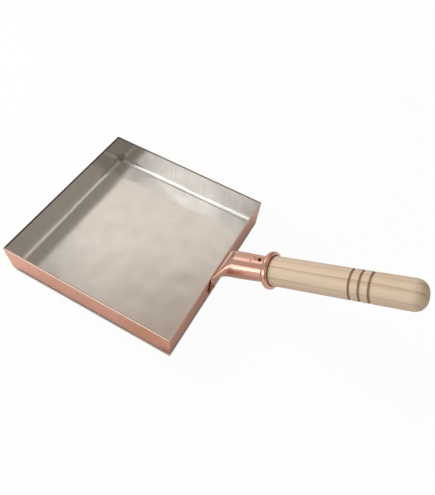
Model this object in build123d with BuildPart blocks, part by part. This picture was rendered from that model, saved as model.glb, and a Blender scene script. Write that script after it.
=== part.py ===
from build123d import *
from math import cos, radians, sin, sqrt, tan
import os

# Square copper omelette pan with a tinned inside, a rolled copper socket and a turned wooden handle.
# Millimetres. The origin is the middle of the underside, +Z is up and the handle leaves towards +X.

# The tray
pan_length = 180.0
pan_width = 180.0
pan_height = 33.8
wall_flare = 1.2
copper_thickness = 1.5
tin_thickness = 0.2
foot_bend_radius = 4.5
tin_crease_radius = 4.6
corner_radius = 1.0
inner_corner_radius = 0.8

# The line that the socket and the handle share, from above the middle of the rim
handle_tilt = 27.45
axis_rise_over_rim = 4.55

# The socket: two tabs on the wall, a hood that gathers into a tube, and a beaded mouth
socket_sheet = 1.5
tab_width = 41.0
tab_lift_length = 2.5
tab_edge_lift = 1.0
tab_top_gap = 0.2
tab_foot_gap = 8.5
tab_corner_radius = 1.5
seam_gap = 0.5
hood_bend_offset = 8.6
hood_bend_run = 3.2
hood_corner_gap = 0.8
hood_corner_height = 2.0
hood_corner_turn = 99
hood_crown_turn = 12
hood_sag = 8.0
hood_sheet_shift = 1.2
hood_crown_edge = 4.0
hood_tip_length = 5.0
hood_tip_height = 0.4
tube_taper_station = 21.0
tube_start_radius = 12.3
mouth_neck_station = 48.0
mouth_neck_radius = 11.45
mouth_flare_radius = 3.1
bead_length = 4.8
bead_outer_radius = 16.6
bead_round = 1.7

# The rivets
rivet_spacing = 29.0
rivet_level = 14.5
rivet_shank_radius = 2.25
rivet_head_radius = 3.1
rivet_head_height = 1.3
rivet_inner_head_radius = 3.4
rivet_inner_head_height = 0.9

# The wooden handle, with stations along the shared line
handle_radius = 13.15
handle_butt_radius = 12.3
handle_end_station = 180.4
handle_butt_round = 9.5
handle_bead_gap = 0.2
tenon_clearance = 0.05
tenon_length = 24.0
tenon_chamfer = 0.8
groove_first_station = 125.6
groove_spacing = 7.7
groove_count = 3
groove_width = 2.1
groove_depth = 0.9

# The nail through the top of the socket
nail_station = 44.6
nail_shank_radius = 0.9
nail_head_radius = 1.7
nail_head_height = 0.7
nail_depth = 12.0

# One overrun serves all cuts
cut_overrun = 5.0

# Where the hood's bend and its outline's stretches are drawn, as shares of each
bend_shares = (0, 1 / 4, 1 / 2, 3 / 4)
stretch_shares = (0, 1 / 2, 1)

half_length = pan_length / 2
flare_run = tan(radians(wall_flare))
wall_thickness_level = copper_thickness / cos(radians(wall_flare))
lined_thickness = copper_thickness + tin_thickness
lined_thickness_level = lined_thickness / cos(radians(wall_flare))


# The tray's blocks: a flared block with a bend round its foot
def tray_block(floor_level, wall_inset, bend_radius, upright_radius, top_level):
    shrink = 2 * ((pan_height - floor_level) * flare_run + wall_inset)
    with BuildPart() as block:
        with BuildSketch(Plane.XY.offset(floor_level)):
            Rectangle(pan_length - shrink, pan_width - shrink)
        extrude(amount=top_level - floor_level, taper=-wall_flare)
        fillet(block.edges().group_by(Axis.Z)[0], radius=bend_radius)
        uprights = block.edges().filter_by(lambda edge: edge.bounding_box().size.Z > pan_height / 2)
        fillet(uprights, radius=upright_radius)
    return block.part


tray_outside = tray_block(0, 0, foot_bend_radius, corner_radius, pan_height)
tray_hollow = tray_block(
    copper_thickness,
    wall_thickness_level,
    foot_bend_radius - copper_thickness,
    inner_corner_radius,
    pan_height + cut_overrun,
)
lined_hollow = tray_block(
    lined_thickness,
    lined_thickness_level,
    tin_crease_radius,
    inner_corner_radius,
    pan_height + cut_overrun,
)

# The wall that carries the handle: local x runs along the wall, local y climbs it, z points outwards
wall_plane = Plane(
    origin=(half_length - pan_height * flare_run, 0, 0),
    x_dir=(0, 1, 0),
    z_dir=(cos(radians(wall_flare)), 0, -sin(radians(wall_flare))),
)
rivet_places = [(-rivet_spacing / 2, rivet_level), (rivet_spacing / 2, rivet_level)]

# The shared line of socket and handle: local x runs along it, local y is the radius, upwards
axis_root = Vector(half_length, 0, pan_height + axis_rise_over_rim)
axis_direction = Vector(cos(radians(handle_tilt)), 0, sin(radians(handle_tilt)))
handle_plane = Plane(origin=axis_root, x_dir=axis_direction, z_dir=(0, -1, 0))
handle_axis = Axis(axis_root, axis_direction)


# The tray of copper, which stops under the tin on the rim
with BuildPart() as pan_body:
    add(tray_outside)
    add(tray_hollow, mode=Mode.SUBTRACT)
    split(bisect_by=Plane.XY.offset(pan_height - tin_thickness), keep=Keep.BOTTOM)
    with BuildSketch(wall_plane):
        with Locations(*rivet_places):
            Circle(rivet_shank_radius)
    extrude(amount=cut_overrun, both=True, mode=Mode.SUBTRACT)
pan_body.part.label = "pan_body"

# The coat of tin: it fills the space between the copper and the lined hollow, and covers the rim
with BuildPart() as tin_lining:
    add(tray_outside)
    add(lined_hollow, mode=Mode.SUBTRACT)
    add(pan_body.part, mode=Mode.SUBTRACT)
    with BuildSketch(wall_plane):
        with Locations(*rivet_places):
            Circle(rivet_shank_radius)
    extrude(amount=cut_overrun, both=True, mode=Mode.SUBTRACT)
tin_lining.part.label = "tin_lining"

# The socket's derived sizes
tab_top = pan_height - tab_top_gap
tab_height = tab_top - tab_foot_gap
tab_flat_width = tab_width - 2 * tab_lift_length
hood_corner = tab_width / 2 - hood_corner_gap
bore_neck_radius = mouth_neck_radius - socket_sheet
mouth_flare_inner = mouth_flare_radius + socket_sheet
mouth_flare_centre = mouth_neck_radius + mouth_flare_radius
bead_start = mouth_neck_station + mouth_flare_radius
bead_end = bead_start + bead_length
bead_inner_radius = handle_radius + handle_bead_gap
bead_lip_radius = (bead_outer_radius - bead_inner_radius - bead_round) / 2


# The station where a mouth arc about the flare's centre reaches a radius
def mouth_arc_station(arc_radius, radius):
    return mouth_neck_station + sqrt(arc_radius**2 - (mouth_flare_centre - radius) ** 2)


# The middle of a mouth arc that starts at the neck and ends at a radius
def mouth_arc_middle(arc_radius, radius):
    end_angle = (mouth_flare_centre - radius) / arc_radius
    half_run = arc_radius * sqrt((1 - end_angle) / 2)
    return mouth_neck_station + half_run, mouth_flare_centre - sqrt(arc_radius**2 - half_run**2)


# How high the shared line crosses a plane that lies along the wall
def axis_level(plane):
    root = plane.to_local_coords(axis_root)
    ahead = plane.to_local_coords(axis_root + axis_direction)
    return root.Y - root.Z * (ahead.Y - root.Y) / (ahead.Z - root.Z)


# The tube's cut along the wall is an oval, because the tube climbs
tube_slant = 1 / cos(radians(handle_tilt + wall_flare))


# A point on that oval, by its turn from the side where local x is largest
def oval_point(plane, radius, turn):
    return radius * cos(radians(turn)), axis_level(plane) + radius * tube_slant * sin(radians(turn))


def between(start, end, share):
    return start[0] + (end[0] - start[0]) * share, start[1] + (end[1] - start[1]) * share


# The hood gathers the tabs' whole width into the tube. Its outline has four stretches: the crown,
# which starts as a straight edge along the rim, the near corner, the underside and the far corner.
hood_length = hood_bend_offset + hood_bend_run
hood_end_plane = wall_plane.offset(hood_length)
hood_underside_turn = 360 - hood_crown_turn - 2 * hood_corner_turn
hood_stretch_turns = [hood_crown_turn, hood_corner_turn, hood_underside_turn, hood_corner_turn]
hood_turns = [90 - hood_crown_turn / 2]
for stretch_turn in hood_stretch_turns[:-1]:
    hood_turns.append(hood_turns[-1] + stretch_turn)


# The outline on the wall, with an underside that sags between the corners
def wall_outline(corner, top, corner_height, sag):
    foot = top - corner_height
    return [
        [(corner, top), (0, top), (-corner, top)],
        [(-corner, top), (-corner, (top + foot) / 2), (-corner, foot)],
        [(-corner, foot), (0, foot - sag), (corner, foot)],
        [(corner, foot), (corner, (top + foot) / 2), (corner, top)],
    ]


# A point of the hood above a point of the wall's outline: straight until the bend starts, then on a
# parabola that ends along the tube
def hood_point(wall_point, turn, radius, bend_offset, offset):
    bend_start = 2 * bend_offset - hood_length
    bend_point = oval_point(wall_plane.offset(bend_offset), radius, turn)
    if offset <= bend_start:
        return between(wall_point, bend_point, offset / bend_offset)
    share = (offset - bend_start) / (hood_length - bend_start)
    start = between(wall_point, bend_point, bend_start / bend_offset)
    end = oval_point(hood_end_plane, radius, turn)
    return between(between(start, bend_point, share), between(bend_point, end, share), share)


# The hood's section at an offset from the wall. The crown stays straight, as bent sheet does, and on
# the wall only the underside is curved.
def hood_section(outline, radius, bend_offset, offset):
    stretches = []
    for points, start, size in zip(outline, hood_turns, hood_stretch_turns):
        places = [(point, start + share * size) for point, share in zip(points, stretch_shares)]
        stretches.append([hood_point(point, turn, radius, bend_offset, offset) for point, turn in places])
    crown, near_corner, underside, far_corner = stretches
    with BuildSketch(wall_plane.offset(offset)) as section:
        with BuildLine():
            Line(crown[0], crown[-1])
            ThreePointArc(*underside)
            for corner in (near_corner, far_corner):
                if offset == 0:
                    Line(corner[0], corner[-1])
                else:
                    ThreePointArc(*corner)
        make_face()
    return section.sketch


# The tube's oval where the hood ends
def tube_section(radius):
    with BuildSketch(hood_end_plane) as section:
        with BuildLine():
            for start, size in zip(hood_turns, hood_stretch_turns):
                EllipticalCenterArc(
                    (0, axis_level(hood_end_plane)),
                    radius,
                    radius * tube_slant,
                    start_angle=start,
                    arc_size=size,
                )
        make_face()
    return section.sketch


# The hood from an outline on the wall: straight sheet up to the bend, then the bend, which ends on
# the tube's oval
def hood_loft(outline, radius, bend_offset):
    bend_start = 2 * bend_offset - hood_length
    foot_section = hood_section(outline, radius, bend_offset, 0)
    bend_sections = [
        hood_section(outline, radius, bend_offset, bend_start + share * (hood_length - bend_start))
        for share in bend_shares
    ]
    with BuildPart() as hood:
        loft(sections=[foot_section, bend_sections[0]], ruled=True)
        loft(sections=[*bend_sections, tube_section(radius)])
    return hood.part


# Under the crown the sheet's edge stands on the wall, and the hollow stops short of the corners
hood_outside = hood_loft(
    wall_outline(hood_corner, tab_top, hood_corner_height, hood_sag),
    tube_start_radius,
    hood_bend_offset,
)
hollow_foot_drop = hood_crown_edge + hood_tip_height + socket_sheet
hood_hollow = hood_loft(
    wall_outline(
        hood_corner - hood_tip_length,
        tab_top - hood_crown_edge,
        hood_tip_height,
        hood_corner_height + hood_sag - hollow_foot_drop,
    ),
    tube_start_radius - socket_sheet,
    hood_bend_offset + hood_sheet_shift,
)


# A body turned about the shared line and cut off where the hood ends
def turned_from_hood(radius_at_start, profile):
    with BuildPart() as turned:
        with BuildSketch(handle_plane):
            with BuildLine():
                Line((0, 0), (0, radius_at_start))
                Line((0, radius_at_start), (tube_taper_station, radius_at_start))
                profile()
            make_face()
        revolve(axis=handle_axis)
        split(bisect_by=hood_end_plane, keep=Keep.TOP)
    return turned.part


# The outside of the tube, the flared mouth and the bead rolled round its edge
def outside_profile():
    Line((tube_taper_station, tube_start_radius), (mouth_neck_station, mouth_neck_radius))
    CenterArc((mouth_neck_station, mouth_flare_centre), mouth_flare_radius, -90, 90)
    Line((bead_start, mouth_flare_centre), (bead_start, bead_outer_radius - bead_round))
    CenterArc((bead_start + bead_round, bead_outer_radius - bead_round), bead_round, 180, -90)
    Line((bead_start + bead_round, bead_outer_radius), (bead_end - bead_round, bead_outer_radius))
    CenterArc((bead_end - bead_round, bead_outer_radius - bead_round), bead_round, 90, -90)
    Line((bead_end, bead_outer_radius - bead_round), (bead_end, 0))
    Line((bead_end, 0), (0, 0))


# The bore, the flared inside of the mouth and the bead's rounded lip
def hollow_profile():
    flare_end = mouth_arc_station(mouth_flare_inner, bead_inner_radius)
    lip_start = bead_end - bead_lip_radius
    lip_outer_radius = bead_inner_radius + bead_lip_radius
    Line((tube_taper_station, tube_start_radius - socket_sheet), (mouth_neck_station, bore_neck_radius))
    ThreePointArc(
        (mouth_neck_station, bore_neck_radius),
        mouth_arc_middle(mouth_flare_inner, bead_inner_radius),
        (flare_end, bead_inner_radius),
    )
    Line((flare_end, bead_inner_radius), (lip_start, bead_inner_radius))
    CenterArc((lip_start, lip_outer_radius), bead_lip_radius, -90, 90)
    Line((bead_end, lip_outer_radius), (bead_end + cut_overrun, lip_outer_radius))
    Line((bead_end + cut_overrun, lip_outer_radius), (bead_end + cut_overrun, 0))
    Line((bead_end + cut_overrun, 0), (0, 0))


tube_outside = turned_from_hood(tube_start_radius, outside_profile)
tube_hollow = turned_from_hood(tube_start_radius - socket_sheet, hollow_profile)

# Where the tabs' section is drawn: at their foot, looking up the wall, with local y outwards
tab_section_plane = Plane(
    origin=wall_plane.from_local_coords((0, tab_foot_gap, 0)),
    x_dir=(0, -1, 0),
    z_dir=wall_plane.y_dir,
)

# The rivet's grip and the middle of a low dome's arc
rivet_grip = lined_thickness
rivet_tab_face = socket_sheet
rivet_plane = Plane(
    origin=wall_plane.from_local_coords((rivet_spacing / 2, rivet_level, 0)),
    x_dir=wall_plane.z_dir,
    z_dir=(0, -1, 0),
)


def dome_middle(face, radius, height):
    sphere_radius = (radius**2 + height**2) / (2 * abs(height))
    half_run = radius / 2
    rise = sqrt(sphere_radius**2 - half_run**2) - (sphere_radius - abs(height))
    return (face + rise if height > 0 else face - rise), half_run


# The handle's derived sizes
tenon_radius = bore_neck_radius - tenon_clearance
tenon_end_station = mouth_neck_station - tenon_length
shoulder_arc_radius = mouth_flare_centre - tenon_radius
shoulder_arc_end = mouth_arc_station(shoulder_arc_radius, handle_radius)
grip_taper = (handle_butt_radius - handle_radius) / (handle_end_station - shoulder_arc_end)
groove_stations = [groove_first_station + groove * groove_spacing for groove in range(groove_count)]


def grip_radius(station):
    return handle_radius + grip_taper * (station - shoulder_arc_end)


# The nail's plane: it starts below the tube's top by the nail's depth and looks up, square to the tube
nail_slope = (mouth_neck_radius - tube_start_radius) / (mouth_neck_station - tube_taper_station)
nail_tube_radius = tube_start_radius + nail_slope * (nail_station - nail_head_radius - tube_taper_station)
nail_plane = Plane(
    origin=handle_plane.from_local_coords((nail_station, nail_tube_radius - nail_depth, 0)),
    x_dir=axis_direction,
    z_dir=handle_plane.y_dir,
)

# The socket of rolled copper sheet
with BuildPart() as handle_socket:
    # The tabs: a strip along the wall whose two ends stand a little off it
    with BuildSketch(tab_section_plane):
        with BuildLine():
            Polyline(
                (-tab_width / 2, tab_edge_lift),
                (-tab_flat_width / 2, 0),
                (tab_flat_width / 2, 0),
                (tab_width / 2, tab_edge_lift),
                (tab_width / 2, tab_edge_lift + socket_sheet),
                (tab_flat_width / 2, socket_sheet),
                (-tab_flat_width / 2, socket_sheet),
                (-tab_width / 2, tab_edge_lift + socket_sheet),
                close=True,
            )
        make_face()
    extrude(amount=tab_height)
    # The tabs' rounded outline
    with BuildSketch(wall_plane):
        with Locations((0, tab_foot_gap + tab_height / 2)):
            RectangleRounded(tab_width, tab_height, tab_corner_radius)
    extrude(amount=socket_sheet + 2 * tab_edge_lift, mode=Mode.INTERSECT)
    # The hood that gathers the two tabs into the tube, then the tube, its mouth and its bead
    add(hood_outside)
    add(tube_outside)
    add(hood_hollow, mode=Mode.SUBTRACT)
    add(tube_hollow, mode=Mode.SUBTRACT)
    # The seam, where the rolled sheet's two edges meet: up the tabs, and under the hood, tube and bead
    seam_top_at_wall = wall_plane.from_local_coords((0, tab_top - hood_corner_height - hood_sag / 2, 0))
    seam_top_at_bead = axis_root + axis_direction * (bead_end + cut_overrun)
    with BuildSketch(Plane.XZ):
        Polygon(
            (seam_top_at_wall.X - cut_overrun, 0),
            (seam_top_at_wall.X - cut_overrun, seam_top_at_wall.Z),
            (seam_top_at_wall.X, seam_top_at_wall.Z),
            (seam_top_at_bead.X, seam_top_at_bead.Z),
            (seam_top_at_bead.X, 0),
            align=None,
        )
    extrude(amount=seam_gap / 2, both=True, mode=Mode.SUBTRACT)
    # The rivet holes and the nail hole
    with BuildSketch(wall_plane):
        with Locations(*rivet_places):
            Circle(rivet_shank_radius)
    extrude(amount=cut_overrun, both=True, mode=Mode.SUBTRACT)
    with BuildSketch(nail_plane):
        Circle(nail_shank_radius)
    extrude(amount=tube_start_radius + cut_overrun, mode=Mode.SUBTRACT)
handle_socket.part.label = "handle_socket"

# The rivets, each with a low dome outside and a flatter head inside the pan
with BuildPart() as rivets:
    with BuildSketch(rivet_plane):
        with BuildLine():
            Line((-rivet_grip - rivet_inner_head_height, 0), (rivet_tab_face + rivet_head_height, 0))
            ThreePointArc(
                (rivet_tab_face + rivet_head_height, 0),
                dome_middle(rivet_tab_face, rivet_head_radius, rivet_head_height),
                (rivet_tab_face, rivet_head_radius),
            )
            Line((rivet_tab_face, rivet_head_radius), (rivet_tab_face, rivet_shank_radius))
            Line((rivet_tab_face, rivet_shank_radius), (-rivet_grip, rivet_shank_radius))
            Line((-rivet_grip, rivet_shank_radius), (-rivet_grip, rivet_inner_head_radius))
            ThreePointArc(
                (-rivet_grip, rivet_inner_head_radius),
                dome_middle(-rivet_grip, rivet_inner_head_radius, -rivet_inner_head_height),
                (-rivet_grip - rivet_inner_head_height, 0),
            )
        make_face()
    revolve(axis=Axis(rivet_plane.origin, rivet_plane.x_dir))
    mirror(about=Plane.XZ)
rivets.part.label = "rivets"

# The wooden handle: a tenon that fills the mouth of the bore, a shoulder that follows the flare,
# a grip that thins a little towards its round butt, and three turned grooves
with BuildPart() as wooden_handle:
    with BuildSketch(handle_plane):
        with BuildLine():
            grip_point = (shoulder_arc_end, handle_radius)
            for station in groove_stations:
                groove_start = station - groove_width / 2
                groove_end = station + groove_width / 2
                Line(grip_point, (groove_start, grip_radius(groove_start)))
                ThreePointArc(
                    (groove_start, grip_radius(groove_start)),
                    (station, grip_radius(station) - groove_depth),
                    (groove_end, grip_radius(groove_end)),
                )
                grip_point = (groove_end, grip_radius(groove_end))
            Polyline(
                grip_point,
                (handle_end_station, handle_butt_radius),
                (handle_end_station, 0),
                (tenon_end_station, 0),
                (tenon_end_station, tenon_radius - tenon_chamfer),
                (tenon_end_station + tenon_chamfer, tenon_radius),
                (mouth_neck_station, tenon_radius),
            )
            ThreePointArc(
                (mouth_neck_station, tenon_radius),
                mouth_arc_middle(shoulder_arc_radius, handle_radius),
                (shoulder_arc_end, handle_radius),
            )
        make_face()
    revolve(axis=handle_axis)
    butt_edge = wooden_handle.edges().filter_by(GeomType.CIRCLE).sort_by(handle_axis)[-1]
    fillet(butt_edge, radius=handle_butt_round)
    with BuildSketch(nail_plane):
        Circle(nail_shank_radius)
    extrude(amount=tube_start_radius + cut_overrun, mode=Mode.SUBTRACT)
wooden_handle.part.label = "wooden_handle"

# The nail: a low round head on the tube and a shank into the wood
with BuildPart() as handle_nail:
    with BuildSketch(nail_plane):
        Circle(nail_shank_radius)
    extrude(amount=nail_depth)
    with BuildSketch(nail_plane.offset(nail_depth)):
        Circle(nail_head_radius)
    extrude(amount=nail_head_height)
    nail_axis = Axis(nail_plane.origin, nail_plane.z_dir)
    head_edge = handle_nail.edges().filter_by(GeomType.CIRCLE).sort_by(nail_axis)[-1]
    fillet(head_edge, radius=nail_head_height / 2)
handle_nail.part.label = "handle_nail"

os.makedirs("parts", exist_ok=True)
export_step(pan_body.part, "parts/pan_body.step")
export_step(tin_lining.part, "parts/tin_lining.step")
export_step(handle_socket.part, "parts/handle_socket.step")
export_step(rivets.part, "parts/rivets.step")
export_step(wooden_handle.part, "parts/wooden_handle.step")
export_step(handle_nail.part, "parts/handle_nail.step")
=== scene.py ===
# %% [markdown]
# # A square copper omelette pan
# A sheet of copper is folded into a low square tray and wiped with tin inside. A rolled copper
# socket is riveted to one wall and carries a turned handle of pale wood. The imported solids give
# every place and size. This file softens the edges that hands and cloths have softened, turns a
# finer handle, and adds the finishes, the light and the camera.

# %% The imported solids
import math

import bmesh
import bpy
from mathutils import Matrix, Vector


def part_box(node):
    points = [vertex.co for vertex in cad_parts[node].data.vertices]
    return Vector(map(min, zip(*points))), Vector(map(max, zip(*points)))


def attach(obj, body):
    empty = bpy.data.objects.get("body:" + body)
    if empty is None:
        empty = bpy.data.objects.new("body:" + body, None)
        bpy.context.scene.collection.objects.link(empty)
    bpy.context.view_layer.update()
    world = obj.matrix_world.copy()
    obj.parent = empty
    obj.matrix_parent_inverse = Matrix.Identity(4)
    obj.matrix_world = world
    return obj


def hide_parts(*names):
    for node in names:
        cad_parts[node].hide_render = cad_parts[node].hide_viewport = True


MM = 0.001

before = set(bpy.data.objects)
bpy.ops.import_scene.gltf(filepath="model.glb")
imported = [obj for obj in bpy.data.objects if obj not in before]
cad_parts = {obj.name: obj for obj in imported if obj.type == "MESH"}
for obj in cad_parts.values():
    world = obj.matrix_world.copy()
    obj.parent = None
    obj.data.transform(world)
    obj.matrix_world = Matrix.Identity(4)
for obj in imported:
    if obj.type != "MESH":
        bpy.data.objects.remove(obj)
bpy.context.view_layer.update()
print("nodes:", sorted(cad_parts))

# %% [markdown]
# ## Colours and nodes
# Colours are written as sRGB hex values, as a paint chart gives them. Blender's shaders work in
# linear light, so one function turns them over. A second function adds a shader node with its
# settings and its links, so that each material below reads as a short list of steps. A third one
# starts a material and hands over its nodes and its surface.


# %% Colours and nodes
def linear(hex_colour):
    channels = [int(hex_colour[place:place + 2], 16) / 255 for place in (1, 3, 5)]
    return [c / 12.92 if c <= 0.04045 else ((c + 0.055) / 1.055) ** 2.4 for c in channels] + [1.0]


def add_node(tree, kind, inputs=None, **settings):
    made = tree.nodes.new(kind)
    for setting, value in settings.items():
        setattr(made, setting, value)
    for place, value in (inputs or {}).items():
        if isinstance(value, bpy.types.NodeSocket):
            tree.links.new(value, made.inputs[place])
        else:
            made.inputs[place].default_value = value
    return made


def new_material(name):
    material = bpy.data.materials.new(name)
    material.use_nodes = True
    tree = material.node_tree
    surface = tree.nodes["Principled BSDF"]
    return material, tree, surface


print("white is", linear("#FFFFFF")[:3])

# %% [markdown]
# ## The camera
# The camera stands where the photographer stood: high over the near corner, looking down at the
# pan. It could be aimed at the pan's middle, but that loses the small roll of the picture, so its
# three directions are given outright.

# %% The camera
camera_place = (0.174409, -0.224858, 0.401329)
camera_right = Vector((0.87509, 0.47693, 0.08219))
camera_forward = Vector((-0.21444, 0.53436, -0.81761))
camera_up = camera_right.cross(camera_forward)
photo_height_px = 495
focal_length_px = 468.2
sensor_height_mm = 36.0

camera_data = bpy.data.cameras.new("photo_camera")
camera_data.sensor_fit = "VERTICAL"
camera_data.sensor_height = sensor_height_mm
camera_data.lens = focal_length_px / photo_height_px * sensor_height_mm
camera_data.clip_start = 10 * MM
camera = bpy.data.objects.new("photo_camera", camera_data)
turn = Matrix((camera_right, camera_up, -camera_forward)).transposed()
camera.matrix_world = Matrix.Translation(camera_place) @ turn.to_4x4()
bpy.context.scene.collection.objects.link(camera)
bpy.context.scene.camera = camera
print("lens in mm:", round(camera_data.lens, 2))

# %% [markdown]
# ## Finishing a piece
# Every new piece ends the same way: its mesh becomes an object at the origin, it gets its
# materials, it rides on the body that carries it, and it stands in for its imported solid. Faces that
# meet at more than 30 degrees keep a crisp edge. The soft edges could be left to plain smooth
# shading, but then flat sheet looks swollen beside them. A Weighted Normal modifier lets the large
# faces decide the shading, so flat sheet stays flat.

# %% Finishing a piece
crisp_angle = math.radians(30)
large_face_weight = 100


def finish_piece(bm, name, materials, node_name):
    mesh = bpy.data.meshes.new(name)
    bm.to_mesh(mesh)
    bm.free()
    for material in materials:
        mesh.materials.append(material)
    mesh.shade_smooth()
    mesh.set_sharp_from_angle(angle=crisp_angle)
    piece = bpy.data.objects.new(name, mesh)
    bpy.context.scene.collection.objects.link(piece)
    flat = piece.modifiers.new("flat_faces", "WEIGHTED_NORMAL")
    flat.weight = large_face_weight
    flat.keep_sharp = True
    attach(piece, "root")
    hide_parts(node_name)
    print(name, "has", len(mesh.polygons), "faces")


print("edges are crisp from", round(math.degrees(crisp_angle)), "degrees")

# %% [markdown]
# ## A soft spot
# Heat tints, darker marks and patches of painted shade are spots of another tone with soft edges.
# They could be painted on a picture, but a picture needs an unwrapped surface. The distance from a
# point in space gives a round spot on whatever surface passes there: full within an inner radius,
# gone at an outer one.

# %% A soft spot
# the tone of the painted shade in the tin's far corner
far_corner_shade_tone = "#7A736A"


def soft_spot(tree, under, place, centre, inner, outer, spot_tone):
    away = add_node(
        tree, "ShaderNodeVectorMath", {0: place, 1: centre}, operation="DISTANCE"
    ).outputs["Value"]
    share = add_node(
        tree, "ShaderNodeMapRange",
        {"Value": away, "From Min": outer, "From Max": inner, "To Min": 0.0, "To Max": 1.0},
        interpolation_type="SMOOTHSTEP",
    ).outputs[0]
    return add_node(
        tree, "ShaderNodeMix", {0: share, 6: under, 7: linear(spot_tone)}, data_type="RGBA"
    ).outputs[2]


# the tone of the far corner's painted shade
print("burnt flux in linear light:", [round(part, 2) for part in linear(far_corner_shade_tone)[:3]])

# %% [markdown]
# ## Tin's patterns
# Molten tin is wiped over the hot copper with a cloth. It sets as a pale grey skin that reflects
# softly, so it is a metal with a low roughness. A photograph of tin could be laid on it, but three
# noises are enough and never repeat: the faint upright strokes of the cloth, clouds where the tin
# lies thicker, and the slight unevenness of a hand-flattened floor. A noise's scale is the number
# of its lumps in a metre. The strokes are 2.2 mm apart, which is coarser than real, so that they
# show, and drawn out along Z.

# %% Tin's patterns
tin_strokes_per_metre = 450
tin_clouds_per_metre = 60
tin_swells_per_metre = 28
upright_stretch = (1, 1, 0.04)

tin, tree, surface = new_material("wiped_tin")
place = add_node(tree, "ShaderNodeTexCoord").outputs["Object"]
drawn_out = add_node(
    tree, "ShaderNodeMapping", {"Vector": place, "Scale": upright_stretch}
).outputs[0]
strokes = add_node(
    tree, "ShaderNodeTexNoise", {"Vector": drawn_out, "Scale": tin_strokes_per_metre, "Detail": 3}
).outputs["Fac"]
clouds = add_node(
    tree, "ShaderNodeTexNoise", {"Vector": place, "Scale": tin_clouds_per_metre, "Detail": 2}
).outputs["Fac"]
swell = add_node(
    tree, "ShaderNodeTexNoise", {"Vector": place, "Scale": tin_swells_per_metre, "Detail": 1}
).outputs["Fac"]
for pattern, count in (
    ("strokes", tin_strokes_per_metre), ("clouds", tin_clouds_per_metre),
    ("swells", tin_swells_per_metre),
):
    print("tin", pattern, "in mm:", round(1 / MM / count, 1))

# %% [markdown]
# ## Tin's tone
# The strokes run between two greys. They could be a second material for the walls, but then they
# would stop at a line. The cloth goes up and down the walls only, so below 8 mm the strokes' share
# fades to a fifth. Where the far creases meet, a soft dark spot is painted shade of the corner.

# %% Tin's tone
stroke_fade_low, stroke_fade_high = 2 * MM, 8 * MM
floor_stroke_share = 0.2
middle_tone = 0.5
# a spot of painted shade where the far creases meet
far_corner_shade_place, far_corner_shade_full, far_corner_shade_gone = (-84.6 * MM, 84.6 * MM, 5 * MM), 0.5 * MM, 5 * MM

height = add_node(tree, "ShaderNodeSeparateXYZ", {0: place}).outputs["Z"]
on_wall = add_node(
    tree, "ShaderNodeMapRange",
    {"Value": height, "From Min": stroke_fade_low, "From Max": stroke_fade_high,
     "To Min": floor_stroke_share, "To Max": 1.0},
).outputs[0]
stroke_share = add_node(
    tree, "ShaderNodeMix", {0: on_wall, 2: middle_tone, 3: strokes}, data_type="FLOAT"
).outputs[0]
tone = add_node(
    tree, "ShaderNodeMix",
    {0: stroke_share, 6: linear("#D5D1CC"), 7: linear("#E7E5E3")}, data_type="RGBA",
).outputs[2]
corner_shaded_tone = soft_spot(tree, tone, place, far_corner_shade_place, far_corner_shade_full, far_corner_shade_gone, far_corner_shade_tone)
tree.links.new(corner_shaded_tone, surface.inputs["Base Color"])
surface.inputs["Metallic"].default_value = 1.0
# where the far corner's painted shade ends
print("flux mark ends", round(far_corner_shade_gone / MM), "mm from the corner")

# %% [markdown]
# ## Tin's gloss and relief
# Thicker tin is a little duller, so the clouds drive the roughness. The relief could be modelled,
# but it is too shallow to show in the outline, so two Bump nodes tilt the reflections instead: the
# floor's long swells first, and the clouds on top of them. Most of a noise's values lie between
# 0.3 and 0.7.

# %% Tin's gloss and relief
noise_low, noise_high = 0.3, 0.7
tin_roughness, dull_tin_roughness = 0.15, 0.22
tin_swell_depth, tin_cloud_depth = 0.5 * MM, 0.04 * MM

gloss = add_node(
    tree, "ShaderNodeMapRange",
    {"Value": clouds, "From Min": noise_low, "From Max": noise_high,
     "To Min": tin_roughness, "To Max": dull_tin_roughness},
).outputs[0]
uneven = add_node(
    tree, "ShaderNodeBump", {"Height": swell, "Strength": 1.0, "Distance": tin_swell_depth}
).outputs[0]
clouded = add_node(
    tree, "ShaderNodeBump",
    {"Height": clouds, "Strength": 1.0, "Distance": tin_cloud_depth, "Normal": uneven},
).outputs[0]
tree.links.new(gloss, surface.inputs["Roughness"])
tree.links.new(clouded, surface.inputs["Normal"])
print("tin swells by mm:", tin_swell_depth / MM)

# %% [markdown]
# ## Copper's relief
# Copper sheet comes from the rollers with fine lines along it. Buffing softens them and the hammer
# leaves wide shallow swells, which make a reflection waver. Both are too shallow to model, so
# they are Bump nodes. The lines are drawn every 0.6 mm, coarser than real, so that they show, and
# the swells are 11 mm wide.

# %% Copper's relief
copper_lines_per_metre = 1600
copper_swells_per_metre = 90
level_stretch = (0.06, 0.06, 1)
line_strength = 0.4


def copper_relief(tree, place, line_depth, swell_depth):
    drawn_out = add_node(
        tree, "ShaderNodeMapping", {"Vector": place, "Scale": level_stretch}
    ).outputs[0]
    lines = add_node(
        tree, "ShaderNodeTexNoise",
        {"Vector": drawn_out, "Scale": copper_lines_per_metre, "Detail": 2},
    ).outputs["Fac"]
    swell = add_node(
        tree, "ShaderNodeTexNoise",
        {"Vector": place, "Scale": copper_swells_per_metre, "Detail": 1},
    ).outputs["Fac"]
    uneven = add_node(
        tree, "ShaderNodeBump", {"Height": swell, "Strength": 1.0, "Distance": swell_depth}
    ).outputs[0]
    return add_node(
        tree, "ShaderNodeBump",
        {"Height": lines, "Strength": line_strength, "Distance": line_depth, "Normal": uneven},
    ).outputs[0]


print("rolling lines in mm:", round(1 / MM / copper_lines_per_metre, 2))

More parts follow.
